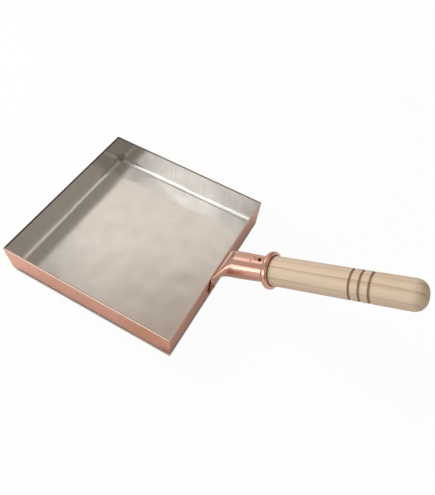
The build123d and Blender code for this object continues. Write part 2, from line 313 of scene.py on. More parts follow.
# %% [markdown]
# ## The dark bend
# The bend at the foot of the walls is darkened with painted shade, which stands in for the shaded
# table that it mirrors under the pan. It could be a narrow face with a material of its own, but the
# shade has soft edges. So each point's distance above or below the bend's level picks its tone.

# %% The dark bend
bend_level = 3.2 * MM
bend_shade_full, bend_shade_gone = 1.4 * MM, 3.1 * MM


def shade_the_bend(tree, sheet_tone, place, bend_shade_tone):
    height = add_node(tree, "ShaderNodeSeparateXYZ", {0: place}).outputs["Z"]
    from_bend = add_node(
        tree, "ShaderNodeMath", {0: height, 1: bend_level}, operation="SUBTRACT"
    ).outputs[0]
    away = add_node(tree, "ShaderNodeMath", {0: from_bend}, operation="ABSOLUTE").outputs[0]
    off_bend = add_node(
        tree, "ShaderNodeMapRange",
        {"Value": away, "From Min": bend_shade_full, "From Max": bend_shade_gone,
         "To Min": 0.0, "To Max": 1.0},
    ).outputs[0]
    return add_node(
        tree, "ShaderNodeMix", {0: off_bend, 6: linear(bend_shade_tone), 7: sheet_tone}, data_type="RGBA"
    ).outputs[2]


print("the bend's shade ends", round((bend_level + bend_shade_gone) / MM, 1), "mm up")

# %% [markdown]
# ## Copper
# Copper is a metal, so it shows what it mirrors, tinted pink-orange. Tray, socket and rivets could
# each get a material of their own, but only their tones, their gloss and the depth of their relief
# differ, so one function makes all three. Clouds, 17 mm wide, let the buffing come out uneven in
# tone and gloss.

# %% Copper
copper_clouds_per_metre = 60
dull_copper_share = 1.25


def copper_material(
    name, dark_tone, light_tone, roughness, line_depth, swell_depth, bend_shade_tone=None, spots=()
):
    material, tree, surface = new_material(name)
    place = add_node(tree, "ShaderNodeTexCoord").outputs["Object"]
    clouds = add_node(
        tree, "ShaderNodeTexNoise",
        {"Vector": place, "Scale": copper_clouds_per_metre, "Detail": 4},
    ).outputs["Fac"]
    tone = add_node(
        tree, "ShaderNodeMix",
        {0: clouds, 6: linear(dark_tone), 7: linear(light_tone)}, data_type="RGBA",
    ).outputs[2]
    if bend_shade_tone:
        tone = shade_the_bend(tree, tone, place, bend_shade_tone)
    for centre, inner, outer, spot_tone in spots:
        tone = soft_spot(tree, tone, place, centre, inner, outer, spot_tone)
    gloss = add_node(
        tree, "ShaderNodeMapRange",
        {"Value": clouds, "From Min": noise_low, "From Max": noise_high,
         "To Min": roughness, "To Max": roughness * dull_copper_share},
    ).outputs[0]
    relief = copper_relief(tree, place, line_depth, swell_depth)
    tree.links.new(tone, surface.inputs["Base Color"])
    tree.links.new(gloss, surface.inputs["Roughness"])
    tree.links.new(relief, surface.inputs["Normal"])
    surface.inputs["Metallic"].default_value = 1.0
    return material


print("copper clouds in mm:", round(1 / MM / copper_clouds_per_metre, 1))

# %% [markdown]
# ## Sheet, socket and rivets
# The tray's outside is buffed sheet: satin, with painted shade on its bend, an orange heat tint, and
# painted shade at the foot of the corner near the front. The socket is the same metal, polished after
# it was rolled, so it shows clear bright bands, and three small darker spots lie beside its nail. The
# rivets were beaten and left dull.

# %% Sheet, socket and rivets
front_heat_tint = ((62 * MM, -90 * MM, 24 * MM), 4 * MM, 32 * MM, "#DB9A75")
# painted shade at the foot of the near corner, where the pan meets the table
near_corner_foot_shade = ((88 * MM, -90 * MM, 6 * MM), 1 * MM, 14 * MM, "#B5755C")
satin_copper = copper_material(
    "satin_copper_sheet", "#E09F84", "#EDB49D", roughness=0.3, line_depth=0.02 * MM,
    swell_depth=0.1 * MM, bend_shade_tone="#5E392D", spots=[front_heat_tint, near_corner_foot_shade],
)
dark_spots_beside_nail = [
    ((121.2 * MM, -0.4 * MM, 67.8 * MM), 0.3 * MM, 1.3 * MM, "#6B3A2C"),
    ((117.4 * MM, -2.4 * MM, 65.6 * MM), 0.3 * MM, 1.5 * MM, "#A1644D"),
    ((119.0 * MM, 1.8 * MM, 66.8 * MM), 0.3 * MM, 1.4 * MM, "#A1644D"),
]
polished_copper = copper_material(
    "polished_copper", "#EAB19D", "#F2C0AE", roughness=0.12, line_depth=0.004 * MM,
    swell_depth=0.04 * MM, spots=dark_spots_beside_nail,
)
rivet_copper = copper_material(
    "rivet_copper", "#B5755C", "#C4856B", roughness=0.3, line_depth=0.01 * MM,
    swell_depth=0.1 * MM,
)
print("coppers:", [copper.name for copper in (satin_copper, polished_copper, rivet_copper)])

# %% [markdown]
# ## The rim's painted shade
# The cut edge of the sheet and its tin is filed. On this pan the rims of the two near walls are
# light and pinkish, and the rims of the two far walls are dark, most of all on the left. The dark is
# painted shade, standing in for the dim places of the studio that the far rims mirror. Four
# materials could do it, but they would meet in hard lines. In one material, the painted shade comes
# in across the diagonal of the tray, and it gets lighter towards the handle. The Mapping node turns
# the pattern, so that its X axis points from the near corner to the far one.

# %% The rim's painted shade
far_corner_turn = math.radians(-135)
rim_shade_fade = 2 * MM
rim_shade_darkest_at, rim_shade_lightest_from = -88 * MM, -20 * MM

filed_rim, tree, surface = new_material("filed_rim")
place = add_node(tree, "ShaderNodeTexCoord").outputs["Object"]
turned = add_node(
    tree, "ShaderNodeMapping", {"Vector": place, "Rotation": (0, 0, far_corner_turn)}
).outputs[0]
across = add_node(tree, "ShaderNodeSeparateXYZ", {0: turned}).outputs["X"]
rim_shade = add_node(
    tree, "ShaderNodeMapRange",
    {"Value": across, "From Min": -rim_shade_fade, "From Max": rim_shade_fade,
     "To Min": 0.0, "To Max": 1.0},
).outputs[0]
towards_handle = add_node(tree, "ShaderNodeSeparateXYZ", {0: place}).outputs["X"]
lighter = add_node(
    tree, "ShaderNodeMapRange",
    {"Value": towards_handle, "From Min": rim_shade_darkest_at, "From Max": rim_shade_lightest_from,
     "To Min": 0.0, "To Max": 1.0},
).outputs[0]
print("the tarnish comes in over", round(2 * rim_shade_fade / MM), "mm")

# %% [markdown]
# ## The filed rim
# Filed copper with a thin tin skin is pinkish white and satin. On the far rims, painted shade darkens
# it to a brown grey, and the roughness rises with it. Both changes follow the same mask, so no second
# pattern is needed.

# %% The filed rim
near_rim_roughness, far_rim_roughness = 0.3, 0.5

# painted shade of the far rims, lighter towards the handle
rim_shade_tone = add_node(
    tree, "ShaderNodeMix",
    {0: lighter, 6: linear("#59544B"), 7: linear("#A39789")}, data_type="RGBA",
).outputs[2]
tone = add_node(
    tree, "ShaderNodeMix", {0: rim_shade, 6: linear("#EBD2C5"), 7: rim_shade_tone}, data_type="RGBA"
).outputs[2]
gloss = add_node(
    tree, "ShaderNodeMapRange",
    {"Value": rim_shade, "From Min": 0.0, "From Max": 1.0,
     "To Min": near_rim_roughness, "To Max": far_rim_roughness},
).outputs[0]
tree.links.new(tone, surface.inputs["Base Color"])
tree.links.new(gloss, surface.inputs["Roughness"])
surface.inputs["Metallic"].default_value = 1.0
print("rim roughness:", near_rim_roughness, "to", far_rim_roughness)

# %% [markdown]
# ## Bent grain
# No tree grows quite straight, so its lines wander a little. A sine wave could bend them, but it
# repeats. A noise, drawn out along the handle, moves each point of the pattern by some millimetres
# instead, and the rings below are laid on the moved points.

# %% Bent grain
bends_per_metre = 60
bend_reach = 14 * MM
grain_stretch = (0.05, 1, 1)


def bend_the_grain(tree, along):
    drawn_out = add_node(
        tree, "ShaderNodeMapping", {"Vector": along, "Scale": grain_stretch}
    ).outputs[0]
    bend = add_node(
        tree, "ShaderNodeTexNoise", {"Vector": drawn_out, "Scale": bends_per_metre, "Detail": 2}
    )
    shift = add_node(
        tree, "ShaderNodeVectorMath", {0: bend.outputs["Color"], 3: bend_reach}, operation="SCALE"
    ).outputs[0]
    bent = add_node(
        tree, "ShaderNodeVectorMath", {0: along, 1: shift}, operation="ADD"
    ).outputs[0]
    return bent, bend.outputs["Fac"]


print("the grain bends every", round(1 / MM / bends_per_metre), "mm across")

# %% [markdown]
# ## Growth rings
# The handle is a pale straight-grained softwood. Its rings could be a picture wrapped round the
# grip, but then they would not meet on the butt. So the grain is built as a tree builds it: rings
# round a heart that lay far beside the handle. They cross the grip as long lines and show as arcs
# on the butt. The rings lie 7.5 mm apart, wider than real, so that each line shows, and the last
# third of each is the darker late wood.

# %% Growth rings
ring_spacing = 7.5 * MM
late_wood_start = 0.68
heart_offset = (0, 60 * MM, 35 * MM)


def late_wood_share(tree, along):
    bent, ring_strength = bend_the_grain(tree, along)
    from_heart = add_node(
        tree, "ShaderNodeMapping",
        {"Vector": bent, "Location": heart_offset, "Scale": (0, 1, 1)},
    ).outputs[0]
    distance = add_node(
        tree, "ShaderNodeVectorMath", {0: from_heart}, operation="LENGTH"
    ).outputs["Value"]
    rings = add_node(
        tree, "ShaderNodeMath", {0: distance, 1: ring_spacing}, operation="DIVIDE"
    ).outputs[0]
    through_ring = add_node(tree, "ShaderNodeMath", {0: rings}, operation="FRACT").outputs[0]
    late_wood = add_node(
        tree, "ShaderNodeMapRange",
        {"Value": through_ring, "From Min": late_wood_start, "From Max": 1.0,
         "To Min": 0.0, "To Max": 1.0},
        interpolation_type="SMOOTHSTEP",
    ).outputs[0]
    return add_node(
        tree, "ShaderNodeMath", {0: late_wood, 1: ring_strength}, operation="MULTIPLY"
    ).outputs[0]


print("late wood in mm:", round(ring_spacing * (1 - late_wood_start) / MM, 1))

# %% [markdown]
# ## Fibres
# Fine fibres run along the wood. They could be modelled as hairs, but sanding leaves them flat, so
# one noise gives their tone and, by a Bump node, their relief. They are 1.1 mm apart, coarser than
# real, so that they show.

# %% Fibres
fibres_per_metre = 900
fibre_stretch = (0.02, 1, 1)
fibre_strength, fibre_depth = 0.3, 0.05 * MM
dark_fibre, pale_fibre = 0.93, 1.03


def sanded_fibres(tree, along):
    drawn_out = add_node(
        tree, "ShaderNodeMapping", {"Vector": along, "Scale": fibre_stretch}
    ).outputs[0]
    fibres = add_node(
        tree, "ShaderNodeTexNoise", {"Vector": drawn_out, "Scale": fibres_per_metre, "Detail": 4}
    ).outputs["Fac"]
    speck = add_node(
        tree, "ShaderNodeMapRange",
        {"Value": fibres, "From Min": noise_low, "From Max": noise_high,
         "To Min": dark_fibre, "To Max": pale_fibre},
    ).outputs[0]
    relief = add_node(
        tree, "ShaderNodeBump",
        {"Height": fibres, "Strength": fibre_strength, "Distance": fibre_depth},
    ).outputs[0]
    return speck, relief


print("fibres in mm:", round(1 / MM / fibres_per_metre, 1))

# %% [markdown]
# ## Wood
# The wood is turned, sanded and left without varnish, so it is matt. Each part of the handle could
# get its own grain, but it is one piece of wood, so one function lays the rings and the fibres
# through all of it. The Mapping node turns the pattern's X along the tilted handle.

# %% Wood
handle_tilt = math.radians(27.45)


def wood_material(name, pale_tone, ring_tone, roughness):
    material, tree, surface = new_material(name)
    place = add_node(tree, "ShaderNodeTexCoord").outputs["Object"]
    along = add_node(
        tree, "ShaderNodeMapping", {"Vector": place, "Rotation": (0, handle_tilt, 0)}
    ).outputs[0]
    ringed = add_node(
        tree, "ShaderNodeMix",
        {0: late_wood_share(tree, along), 6: linear(pale_tone), 7: linear(ring_tone)},
        data_type="RGBA",
    ).outputs[2]
    speck, relief = sanded_fibres(tree, along)
    tone = add_node(
        tree, "ShaderNodeVectorMath", {0: ringed, 3: speck}, operation="SCALE"
    ).outputs[0]
    tree.links.new(tone, surface.inputs["Base Color"])
    tree.links.new(relief, surface.inputs["Normal"])
    surface.inputs["Roughness"].default_value = roughness
    return material


print("the grain is tilted by degrees:", round(math.degrees(handle_tilt), 2))

# %% [markdown]
# ## Three woods
# The turning tool browned the grooves, and their bottoms also carry painted shade of the hollow. The
# end that seats in the socket's mouth is darkened with painted shade of the mouth. Both could be soft
# spots on the pale wood, but they end at sharp edges of the turning. So they are materials of their
# own, made by the same function, and matter than the sanded wood.

# %% Three woods
pale_wood = wood_material("sanded_pale_wood", "#D6C0A8", "#A38D79", 0.5)
# browned by the tool, with painted shade of the hollow
browned_and_shaded_groove_wood = wood_material("groove_browned_with_painted_shade", "#9C8167", "#886C54", 0.7)
# painted shade where the wood sits in the socket's mouth
mouth_shaded_wood = wood_material("wood_with_painted_shade_of_the_mouth", "#7A5446", "#64443A", 0.7)
print("woods:", [wood.name for wood in (pale_wood, browned_and_shaded_groove_wood, mouth_shaded_wood)])

# %% [markdown]
# ## Nail
# A plain iron nail, darkened by the fire that softened the copper round it. Its forge scale could
# be modelled as flakes, but the head is only 3.4 mm wide, so a noise with 1.4 mm specks between two
# dark browns, on a half rough metal, is enough.

# %% Nail
scale_specks_per_metre = 700
nail_roughness = 0.45

nail_steel, tree, surface = new_material("dark_nail_steel")
place = add_node(tree, "ShaderNodeTexCoord").outputs["Object"]
scale_specks = add_node(
    tree, "ShaderNodeTexNoise", {"Vector": place, "Scale": scale_specks_per_metre, "Detail": 3}
).outputs["Fac"]
tone = add_node(
    tree, "ShaderNodeMix",
    {0: scale_specks, 6: linear("#3A2A25"), 7: linear("#6A5048")}, data_type="RGBA",
).outputs[2]
tree.links.new(tone, surface.inputs["Base Color"])
surface.inputs["Metallic"].default_value = 1.0
surface.inputs["Roughness"].default_value = nail_roughness
print("nail specks in mm:", round(1 / MM / scale_specks_per_metre, 1))

# %% [markdown]
# ## Copies to work on
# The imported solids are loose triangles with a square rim, and they have to stay as they are. So the
# tray and the tin are copied, their doubled points are merged, and flat triangles are dissolved
# into whole faces. A square tray's loops of edges all lie round the middle, so a loop is known by
# how far it reaches to the right.

# %% Copies to work on
merge_distance = 0.001 * MM
flat_limit = math.radians(0.5)


def merged_copy(node_name):
    bm = bmesh.new()
    bm.from_mesh(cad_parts[node_name].data)
    bmesh.ops.remove_doubles(bm, verts=bm.verts, dist=merge_distance)
    bmesh.ops.dissolve_limit(bm, angle_limit=flat_limit, verts=bm.verts, edges=bm.edges)
    print(node_name, "copied with", len(bm.faces), "faces")
    return bm


def half_width(edges):
    return max(vert.co.x for edge in edges for vert in edge.verts)


def open_loops(bm):
    left = [edge for edge in bm.edges if edge.is_boundary]
    loops = []
    while left:
        waiting, loop = [left.pop(0)], []
        while waiting:
            edge = waiting.pop()
            loop.append(edge)
            beside = [other for other in left if set(other.verts) & set(edge.verts)]
            left = [other for other in left if other not in beside]
            waiting += beside
        loops.append(loop)
    return sorted(loops, key=half_width)


print("points closer than", merge_distance / MM, "mm are merged")

# %% [markdown]
# ## A rim that is rolled over
# The sheared edge of the sheet is filed round until it no longer cuts. A bevel would round it too,
# but copper and tin share one round, and each has only its own half. So the loop of edges on the
# side that shows is extruded up a quarter circle in small steps. A square tray can be drawn in by
# scaling its loop.

# %% A rim that is rolled over
rim_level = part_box("tin_lining")[1].z
sheet_and_tin = 1.7 * MM
rim_round = sheet_and_tin / 2
rim_steps = 5


def roll_over(bm, loop, side):
    first_width = half_width(loop)
    width, height = first_width, 0.0
    for step in range(1, rim_steps + 1):
        angle = math.pi / 2 * step / rim_steps
        next_width = first_width - side * rim_round * (1 - math.cos(angle))
        next_height = rim_round * math.sin(angle)
        raised = bmesh.ops.extrude_edge_only(bm, edges=loop)["geom"]
        verts = [part for part in raised if isinstance(part, bmesh.types.BMVert)]
        edges = [part for part in raised if isinstance(part, bmesh.types.BMEdge)]
        loop = [edge for edge in edges if edge.is_boundary]
        ratio = next_width / width
        bmesh.ops.scale(bm, vec=(ratio, ratio, 1), verts=verts)
        bmesh.ops.translate(bm, vec=(0, 0, next_height - height), verts=verts)
        width, height = next_width, next_height
    return loop


print("rim radius in mm:", round(rim_round / MM, 2), "at level", round(rim_level / MM, 1))

# %% [markdown]
# ## The rounded rim
# The copy is cut off level just below the rim. The loop that shows is rolled over, and its last
# loop is bridged to the loop on the hidden side, where copper and tin touch. The filing went
# through the tin, so every face above the cut gets the rim's own material.


# %% The rounded rim
def rounded_rim(node_name, outward):
    bm = merged_copy(node_name)
    cut_level = rim_level - rim_round
    everything = bm.verts[:] + bm.edges[:] + bm.faces[:]
    bmesh.ops.bisect_plane(
        bm, geom=everything, plane_co=(0, 0, cut_level), plane_no=(0, 0, 1), clear_outer=True
    )
    inner, outer = open_loops(bm)
    shown, hidden = (outer, inner) if outward else (inner, outer)
    top_loop = roll_over(bm, shown, 1 if outward else -1)
    print(node_name, "rim meets at", round(half_width(top_loop) / MM, 2), "mm")
    bmesh.ops.bridge_loops(bm, edges=top_loop + hidden)
    for face in bm.faces:
        face.material_index = int(face.calc_center_median().z > cut_level)
    bmesh.ops.recalc_face_normals(bm, faces=bm.faces)
    print("open edges left:", len([edge for edge in bm.edges if edge.is_boundary]))
    return bm


tray_bm = rounded_rim("pan_body", outward=True)
coat_bm = rounded_rim("tin_lining", outward=False)

# %% [markdown]
# ## Tin in the crease
# Molten tin runs down into the crease between wall and floor and lies there nearly flat, so the
# crease shows as a clean bright band. A strip of new faces could lie over the crease, but it would
# be a second skin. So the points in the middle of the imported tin's round crease are moved most of
# the way to a straight chord. The round ends stay, and the lower one gives the thin dark line under
# the band.

# %% Tin in the crease
crease_radius = 4.6 * MM
band_start, band_end = math.radians(18), math.radians(70)
crease_fill_share = 0.85


def on_crease(turn):
    return Vector((math.sin(turn), 1 - math.cos(turn)))


def on_filled_crease(turn):
    chord_start = on_crease(band_start)
    chord = (on_crease(band_end) - chord_start).normalized()
    flat = chord_start + chord * (on_crease(turn) - chord_start).dot(chord)
    return on_crease(turn).lerp(flat, crease_fill_share)


middle_turn = (band_start + band_end) / 2
middle_shift = (on_filled_crease(middle_turn) - on_crease(middle_turn)).length * crease_radius
print("the crease's middle moves by mm:", round(middle_shift / MM, 2))

# %% [markdown]
# ## The crease filled
# The floor is the largest level face, and it tells where the crease starts. A point belongs to the
# crease when it lies on the arc between wall and floor. It is moved outward or inward on the side
# that it belongs to, and on both sides when it lies in a corner.

# %% The crease filled
level_limit = 0.99
arc_tolerance = 0.01
corner_tolerance = 0.02 * MM


def fill_crease(bm):
    level_faces = [face for face in bm.faces if face.normal.z > level_limit]
    floor_face = max(level_faces, key=lambda face: face.calc_area())
    floor_level = floor_face.calc_center_median().z
    floor_half = max(vert.co.x for vert in floor_face.verts)
    moved_points = 0
    for vert in bm.verts:
        reach_x, reach_y = abs(vert.co.x), abs(vert.co.y)
        across = max(reach_x, reach_y)
        out, up = (across - floor_half) / crease_radius, (vert.co.z - floor_level) / crease_radius
        turn = math.atan2(out, 1 - up)
        off_arc = abs(math.hypot(out, 1 - up) - 1)
        if off_arc > arc_tolerance or not band_start < turn < band_end:
            continue
        moved = on_filled_crease(turn)
        ratio = (floor_half + moved.x * crease_radius) / across
        at_corner = abs(reach_x - reach_y) < corner_tolerance
        if at_corner or reach_x > reach_y:
            vert.co.x *= ratio
        if at_corner or reach_y > reach_x:
            vert.co.y *= ratio
        vert.co.z = floor_level + moved.y * crease_radius
        moved_points += 1
    bmesh.ops.recalc_face_normals(bm, faces=bm.faces)
    print("crease points moved:", moved_points)


fill_crease(coat_bm)

# %% [markdown]
# ## The tray and its tin
# Tray and coat could be joined now, because they were wiped and filed as one. But they are two
# metals, so they stay two pieces. Each has its own finish and shares the filed rim's, so that the
# rim shows as one line.

# %% The tray and its tin
finish_piece(tray_bm, "copper_tray", [satin_copper, filed_rim], "pan_body")
finish_piece(coat_bm, "tin_coat", [tin, filed_rim], "tin_lining")

# %% [markdown]
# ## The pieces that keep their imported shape
# Socket, rivets and nail are already modelled as finely as they show, so they are not built twice.
# They only get their finish.

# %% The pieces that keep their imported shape
for node_name, material in {
    "handle_socket": polished_copper,
    "rivets": rivet_copper,
    "handle_nail": nail_steel,
}.items():
    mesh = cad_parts[node_name].data
    mesh.materials.clear()
    mesh.materials.append(material)
    print(node_name, "is", material.name)

# %% [markdown]
# ## The turned handle's sizes
# The handle is turned on a lathe, so it is a profile spun about a line. It could be a stretched
# cylinder with cuts, but a profile holds every turned form at once: the tenon, the shoulder that
# seats in the flared mouth, three grooves and the round butt. The profile is drawn flat on the X
# axis, spun, and then tilted to its place. The sizes are those of the imported handle. The part that
# seats in the mouth is 8.2 mm long, so that a ring of it with painted shade shows.

# %% The turned handle's sizes
axis_root = Vector((90 * MM, 0, 38.35 * MM))
tenon_start, tenon_radius, tenon_chamfer = 24 * MM, 9.9 * MM, 0.8 * MM
mouth_station = 48 * MM
seat_length = 8.2 * MM
shoulder_centre, shoulder_radius = 14.55 * MM, 4.65 * MM
grip_radius, butt_radius = 13.15 * MM, 12.3 * MM
butt_station, butt_round = 180.4 * MM, 9.5 * MM
groove_stations = [station * MM for station in (125.6, 133.3, 141.0)]
groove_half_width, groove_depth = 1.05 * MM, 0.9 * MM

shoulder_angle = math.asin((shoulder_centre - grip_radius) / shoulder_radius)
grip_start = mouth_station + shoulder_radius * math.cos(shoulder_angle)
groove_radius = (groove_half_width ** 2 + groove_depth ** 2) / (2 * groove_depth)
print("groove arc radius in mm:", round(groove_radius / MM, 2))

# %% [markdown]
# ## Points and arcs
# A point of the profile is given by its station along the handle and its radius. An arc comes from
# spinning a single point, so no list of points has to be worked out. Between the shoulder and the
# butt the grip tapers in a straight line.


# %% Points and arcs
def add_point(bm, station, radius):
    return bm.verts.new((station, 0, radius))


def add_arc(bm, start, centre, angle, steps):
    spun = bmesh.ops.spin(
        bm, geom=[start], cent=(centre[0], 0, centre[1]), axis=(0, 1, 0), angle=angle, steps=steps
    )
    return next(part for part in spun["geom_last"] if isinstance(part, bmesh.types.BMVert))


def surface_radius(station):
    share = (station - grip_start) / (butt_station - grip_start)
    return grip_radius + (butt_radius - grip_radius) * share


print("radius at the middle groove in mm:", round(surface_radius(groove_stations[1]) / MM, 2))

# %% [markdown]
# ## The profile from tenon to seat
# The profile starts on the axis with the tenon, which is chamfered so that it enters the tube. The
# shoulder's arc follows, and one point marks the end of the scorched part.

# %% The profile from tenon to seat
shoulder_steps = 8

bm = bmesh.new()
points = [
    add_point(bm, tenon_start, 0),
    add_point(bm, tenon_start, tenon_radius - tenon_chamfer),
    add_point(bm, tenon_start + tenon_chamfer, tenon_radius),
    add_point(bm, mouth_station, tenon_radius),
]
for first, second in zip(points, points[1:]):
    bm.edges.new((first, second))
shoulder_end = add_arc(
    bm, points[-1], (mouth_station, shoulder_centre), shoulder_angle - math.pi / 2, shoulder_steps
)
seat_station = mouth_station + seat_length
last = add_point(bm, seat_station, surface_radius(seat_station))
bm.edges.new((shoulder_end, last))
print("profile points:", len(bm.verts))

# %% [markdown]
# ## Grooves and butt
# Each groove is cut with a round-nosed tool, so it is an arc that dips below the grip. Sandpaper
# softens its two lips, which a bevel of single points does. The butt ends in a large arc and a
# small flat.

# %% Grooves and butt
groove_steps, butt_steps = 10, 16
lip_round, lip_segments = 0.3 * MM, 3

lips = []
for station in groove_stations:
    radius = surface_radius(station)
    lip = add_point(bm, station - groove_half_width, radius)
    bm.edges.new((last, lip))
    opening = 2 * math.atan2(groove_half_width, groove_radius - groove_depth)
    arc_centre = (station, radius + groove_radius - groove_depth)
    last = add_arc(bm, lip, arc_centre, -opening, groove_steps)
    lips += [lip, last]
butt_start = add_point(bm, butt_station - butt_round, surface_radius(butt_station - butt_round))
bm.edges.new((last, butt_start))
butt_centre = (butt_station - butt_round, butt_start.co.z - butt_round)
butt_end = add_arc(bm, butt_start, butt_centre, math.pi / 2, butt_steps)
bm.edges.new((butt_end, add_point(bm, butt_station, 0)))
bmesh.ops.bevel(
    bm, geom=lips, offset=lip_round, segments=lip_segments, profile=0.5, affect="VERTICES",
    material=-1,
)
print("profile points:", len(bm.verts))

# %% [markdown]
# ## The handle spun
# A full spin closes on itself when its ends are merged. Faces deep in a groove get the browned and
# shaded wood, and those in the socket's mouth the wood with the mouth's painted shade. The lips stay
# pale, because only the bottom of a cut was rubbed hot and lies in the hollow's painted shade.

# %% The handle spun
turns_round = 96
pole_merge_distance = 0.005 * MM
brown_depth = 0.12 * MM
pale_index, brown_index, mouth_shade_index = 0, 1, 2

bmesh.ops.spin(
    bm, geom=bm.verts[:] + bm.edges[:], cent=(0, 0, 0), axis=(1, 0, 0), angle=2 * math.pi,
    steps=turns_round, use_merge=True,
)
bmesh.ops.remove_doubles(bm, verts=bm.verts, dist=pole_merge_distance)
bmesh.ops.recalc_face_normals(bm, faces=bm.faces)
for face in bm.faces:
    middle = face.calc_center_median()
    depth = surface_radius(middle.x) - math.hypot(middle.y, middle.z)
    nearest = min(abs(middle.x - station) for station in groove_stations)
    in_groove = nearest < groove_half_width and depth > brown_depth
    in_mouth = middle.x < seat_station
    face.material_index = (
        mouth_shade_index if in_mouth else brown_index if in_groove else pale_index
    )
print("browned faces:", sum(face.material_index == brown_index for face in bm.faces))

# %% [markdown]
# ## The handle in its place
# The finished turning is tilted and moved to the socket. Its object could be moved instead, but the
# grain is laid out in the pan's own coordinates. So the mesh is moved, and the object stays at the
# origin like the others.

# %% The handle in its place
tilt = Matrix.Rotation(-handle_tilt, 4, "Y")
bmesh.ops.transform(bm, matrix=Matrix.Translation(axis_root) @ tilt, verts=bm.verts)
handle_woods = [pale_wood, browned_and_shaded_groove_wood, mouth_shaded_wood]
finish_piece(bm, "turned_handle", handle_woods, "wooden_handle")

# %% [markdown]
# ## The white backdrop
# The pan stands on plain white paper in front of a white backdrop. More light would whiten them
# too, but it would burn out the pan. So rays that come straight from the camera see white. Part of
# that same white is mixed in for rays that metal mirrors. The rest of what the metal shows is
# the studio itself: the paper with the pan's shade on it, and the bright and dim places of the sky.

# %% The white backdrop
mirrored_white_share = 0.15


def white_share(tree, camera_share):
    rays = add_node(tree, "ShaderNodeLightPath").outputs
    mirrored = add_node(
        tree, "ShaderNodeMath",
        {0: rays["Is Glossy Ray"], 1: rays["Is Transmission Ray"]}, operation="ADD",
    ).outputs[0]
    mirrored_part = add_node(
        tree, "ShaderNodeMath", {0: mirrored, 1: mirrored_white_share}, operation="MULTIPLY"
    ).outputs[0]
    return add_node(
        tree, "ShaderNodeMath",
        {0: rays["Is Camera Ray"], 1: camera_share, 2: mirrored_part}, operation="MULTIPLY_ADD",
    ).outputs[0]


print("metal mirrors this much of the white:", mirrored_white_share)

# %% [markdown]
# ## The table
# The table is one large sheet of paper. It lies a hair below the foot of the pan, because two
# surfaces in one plane flicker when they are seen from below.

# %% The table
table_gap = 0.05 * MM
table_half_size = 3.0

floor_bm = bmesh.new()
bmesh.ops.create_grid(floor_bm, x_segments=1, y_segments=1, size=table_half_size)
floor_mesh = bpy.data.meshes.new("table")
floor_bm.to_mesh(floor_mesh)
floor_bm.free()
floor = bpy.data.objects.new("table", floor_mesh)
floor.location.z = -table_gap
bpy.context.scene.collection.objects.link(floor)
print("table in m:", [round(side, 1) for side in floor.dimensions])

# %% [markdown]
# ## The table's paper
# Paper scatters light evenly, so it is a plain diffuse white. The camera sees it as nearly full
# white, and the little that is left keeps a faint shadow of the pan. Close round the square foot
# the paper is seen as it is, so that the pan stands in its own dark line.

# %% The table's paper
table_white_share = 0.96
foot_line_start, foot_line_end = 89.0 * MM, 89.9 * MM

white_table = bpy.data.materials.new("white_table")
white_table.use_nodes = True
tree = white_table.node_tree
tree.nodes.clear()
paper = add_node(tree, "ShaderNodeBsdfDiffuse", {"Color": linear("#E7E7E7")}).outputs[0]
glow = add_node(
    tree, "ShaderNodeEmission", {"Color": linear("#FFFFFF"), "Strength": 1.0}
).outputs[0]
place = add_node(tree, "ShaderNodeTexCoord").outputs["Object"]
spread = add_node(tree, "ShaderNodeVectorMath", {0: place}, operation="ABSOLUTE").outputs[0]
sides = add_node(tree, "ShaderNodeSeparateXYZ", {0: spread}).outputs
from_middle = add_node(
    tree, "ShaderNodeMath", {0: sides["X"], 1: sides["Y"]}, operation="MAXIMUM"
).outputs[0]
clear_of_foot = add_node(
    tree, "ShaderNodeMapRange",
    {"Value": from_middle, "From Min": foot_line_start, "From Max": foot_line_end,
     "To Min": 0.0, "To Max": table_white_share},
).outputs[0]
seen = white_share(tree, clear_of_foot)
mixed = add_node(tree, "ShaderNodeMixShader", {0: seen, 1: paper, 2: glow}).outputs[0]
add_node(tree, "ShaderNodeOutputMaterial", {"Surface": mixed})
floor.data.materials.append(white_table)
print("foot line in mm:", round((foot_line_end - foot_line_start) / MM, 1))

# %% [markdown]
# ## A sky to mirror
# Bright metal shows its surroundings, so they are drawn on purpose. A photograph of a studio could
# be wrapped round the scene, but drawn lights can be moved one by one. Each is placed by following
# a ray from the camera to a bright or dim place of the pan and on, the way it bounces. The world's
# Generated coordinates are the direction in which a ray leaves.

# %% A sky to mirror
world = bpy.data.worlds.new("studio")
bpy.context.scene.world = world
world.use_nodes = True
tree = world.node_tree
tree.nodes.clear()
facing = add_node(tree, "ShaderNodeTexCoord").outputs["Generated"]


def direction_to(azimuth, elevation):
    around, up = math.radians(azimuth), math.radians(elevation)
    level = math.cos(up)
    return Vector((math.cos(around) * level, math.sin(around) * level, math.sin(up)))


def add_light(total, share, tint):
    part = add_node(
        tree, "ShaderNodeVectorMath", {0: tint, 3: share}, operation="SCALE"
    ).outputs[0]
    return add_node(
        tree, "ShaderNodeVectorMath", {0: total, 1: part}, operation="ADD"
    ).outputs[0]


print("straight up is", [round(part, 2) for part in direction_to(0, 90)])

# %% [markdown]
# ## Round patches
# A patch is a soft round light, such as an umbrella. The dot product of two directions says how
# close they are, so a patch is full within one angle from its middle and gone at another.


# %% Round patches
def patch(total, azimuth, elevation, full_angle, end_angle, tint):
    closeness = add_node(
        tree, "ShaderNodeVectorMath",
        {0: facing, 1: direction_to(azimuth, elevation)}, operation="DOT_PRODUCT",
    ).outputs["Value"]
    share = add_node(
        tree, "ShaderNodeMapRange",
        {"Value": closeness, "From Min": math.cos(math.radians(end_angle)),
         "From Max": math.cos(math.radians(full_angle)), "To Min": 0.0, "To Max": 1.0},
        interpolation_type="SMOOTHSTEP",
    ).outputs[0]
    return add_light(total, share, tint)


